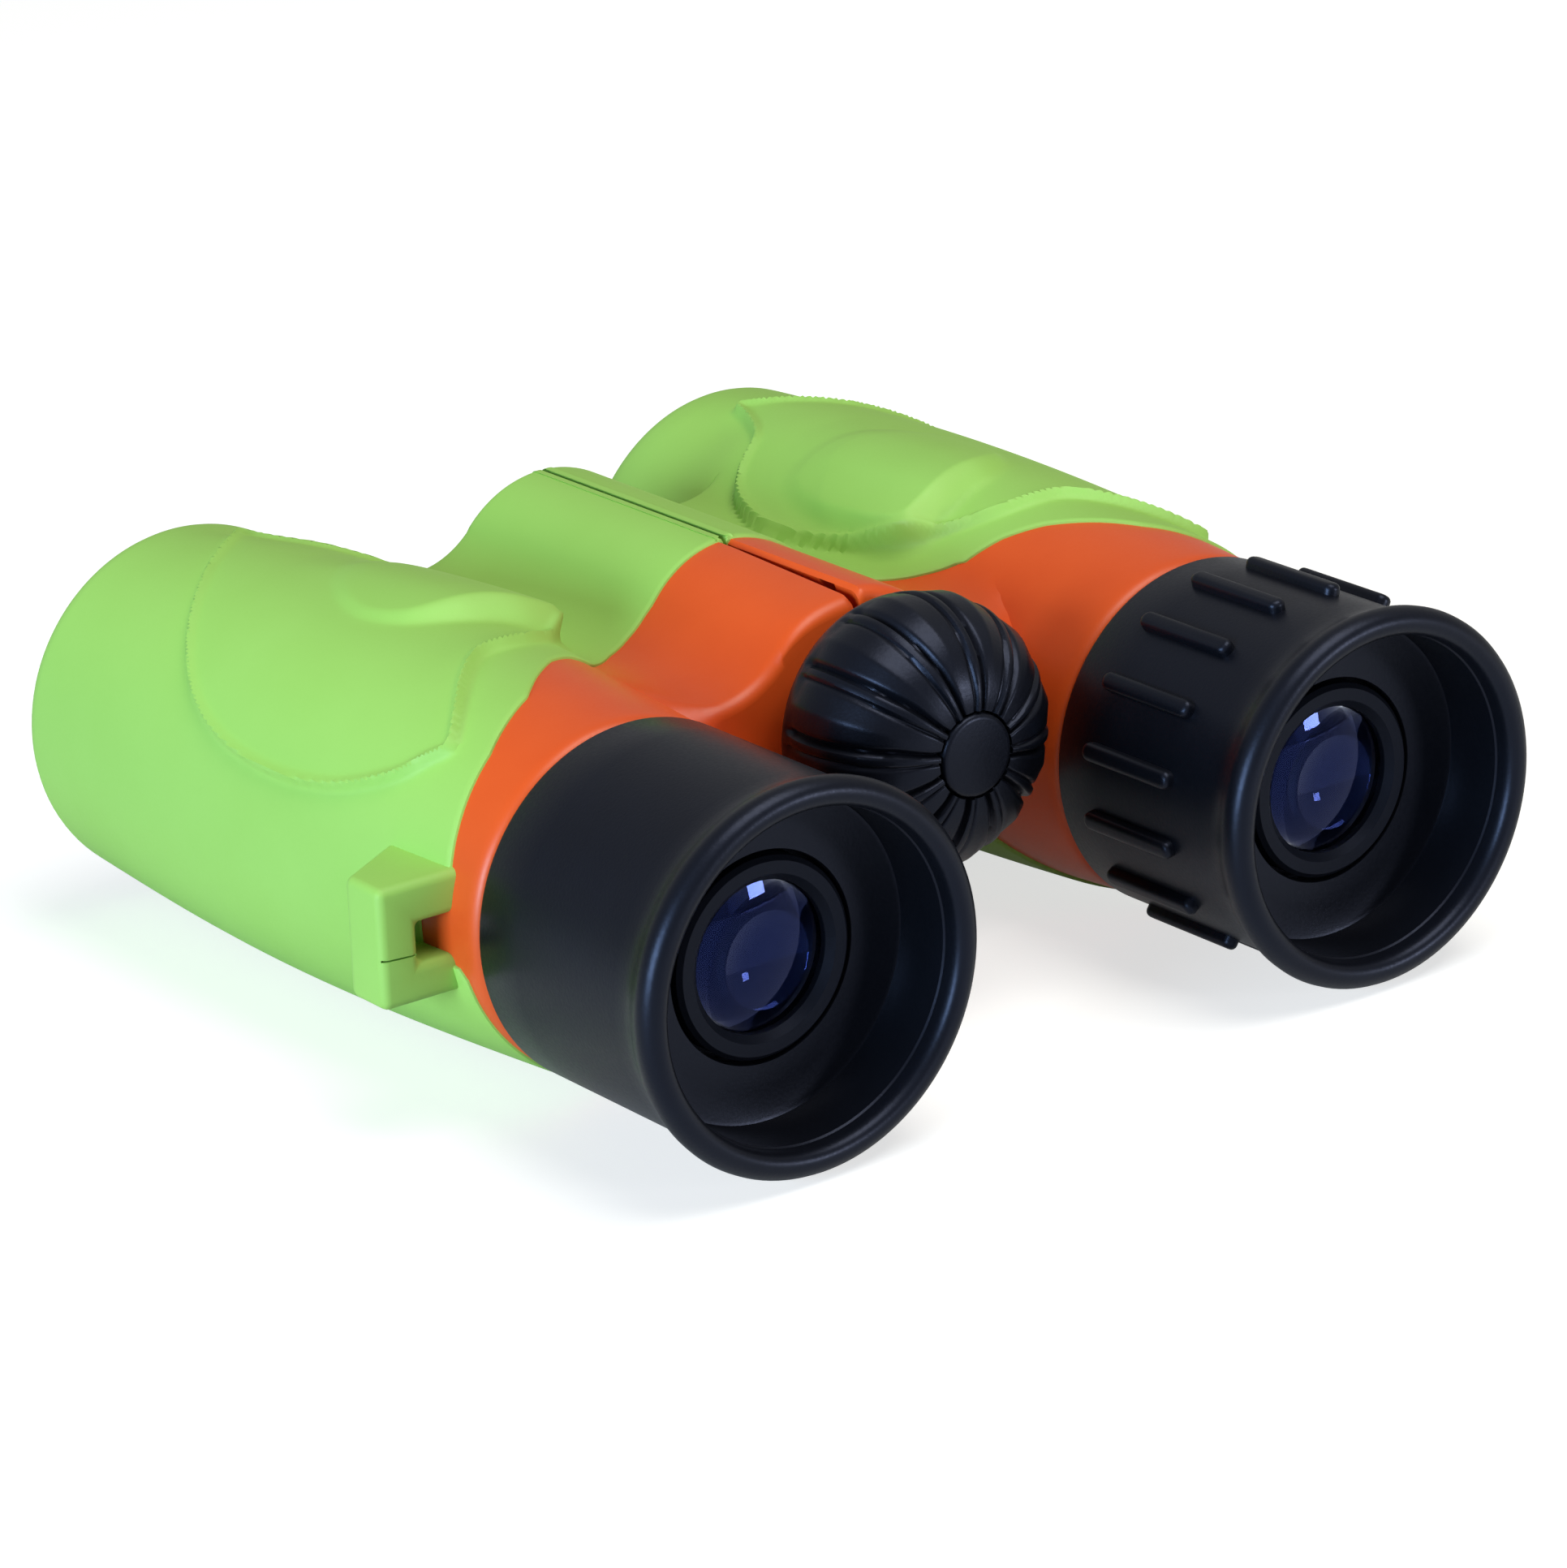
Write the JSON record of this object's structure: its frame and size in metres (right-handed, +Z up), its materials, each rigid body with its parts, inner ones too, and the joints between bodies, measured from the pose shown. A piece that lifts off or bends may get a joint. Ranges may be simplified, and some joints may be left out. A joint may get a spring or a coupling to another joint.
{
  "type": "toy binoculars",
  "caption": "Toy binoculars: rubber-armoured plastic barrels on a folding centre hinge, soft eyecups, a knob that focuses the objectives, a dioptre ring and strap lugs.",
  "frame": {"origin": "bottom centre of the bounding box: under the middle of the length, midway between the barrels, on the level of the barrels' lowest points", "axes": "+X from the left barrel to the right one as the user holds it, +Y from the eyecups to the objectives along the optical axes, +Z up"},
  "size_m": [0.108, 0.098, 0.0376],
  "materials": {
    "armour_rubber": "soft-touch matte, moulded",
    "casing_plastic": "fine-textured satin, moulded",
    "cup_rubber": "matte, moulded",
    "black_plastic": "matte, moulded",
    "lens_glass": "polished, coated",
    "steel": "turned and zinc plated",
    "brass": "turned"
  },
  "bodies": {
    "left_half": {"left_casing": "casing_plastic", "left_armour": "armour_rubber", "left_eyecup": "cup_rubber", "left_cup_core": "black_plastic", "left_eye_tube": "black_plastic", "left_eye_ring": "black_plastic", "left_eye_lens": "lens_glass", "left_field_lens": "lens_glass", "left_field_stop": "black_plastic", "left_prism_cage": "black_plastic", "left_prism": "lens_glass", "left_bezel": "black_plastic", "hinge_tube": "steel", "hinge_cap": "black_plastic", "spindle_bushing": "brass"},
    "focus_wheel": {"focus_knob": "cup_rubber", "knob_hub": "black_plastic", "knob_cap": "black_plastic", "focus_spindle": "steel", "spindle_clip": "steel"},
    "focus_carriage": {"focus_nut": "brass", "drive_pins": "steel", "focus_collar": "black_plastic", "left_focus_arm": "steel", "left_objective_cell": "black_plastic", "left_objective_lens": "lens_glass", "left_objective_ring": "black_plastic"},
    "right_half": {"right_casing": "casing_plastic", "right_armour": "armour_rubber", "right_prism_cage": "black_plastic", "right_prism": "lens_glass", "right_bezel": "black_plastic"},
    "right_objective": {"right_focus_arm": "steel", "right_objective_cell": "black_plastic", "right_objective_lens": "lens_glass", "right_objective_ring": "black_plastic"},
    "dioptre": {"right_eyecup": "cup_rubber", "dioptre_ring": "black_plastic"},
    "right_eyepiece": {"right_eye_tube": "black_plastic", "right_eye_ring": "black_plastic", "right_eye_lens": "lens_glass", "right_field_lens": "lens_glass", "right_field_stop": "black_plastic"}
  },
  "joints": [
    {"name": "hinge_fold", "type": "hinge", "parent": "left_half", "child": "right_half", "pos_m": [0, 0, 0.0251], "axis": [0, 1, 0], "range_deg": [0, 50]},
    {"name": "focus_turn", "type": "hinge", "parent": "left_half", "child": "focus_wheel", "pos_m": [0, 0, 0.0251], "axis": [0, 1, 0], "range_deg": [-270, 270]},
    {"name": "focus_slide", "type": "slide", "parent": "left_half", "child": "focus_carriage", "axis": [0, 1, 0], "range_m": [-0.002, 0.002]},
    {"name": "right_focus_slide", "type": "slide", "parent": "right_half", "child": "right_objective", "axis": [0, 1, 0], "range_m": [-0.002, 0.002]},
    {"name": "dioptre_turn", "type": "hinge", "parent": "right_half", "child": "dioptre", "pos_m": [0.031, 0, 0.0178], "axis": [0, 1, 0], "range_deg": [-60, 60]},
    {"name": "dioptre_travel", "type": "slide", "parent": "right_half", "child": "right_eyepiece", "axis": [0, 1, 0], "range_m": [-0.001, 0.001]}
  ],
  "couplings": [
    {"joint": "focus_turn", "follows": "focus_slide", "rad_per_m": 2356.2},
    {"joint": "right_focus_slide", "follows": "focus_slide", "ratio": 1},
    {"joint": "dioptre_turn", "follows": "dioptre_travel", "rad_per_m": 1047.2}
  ]
}
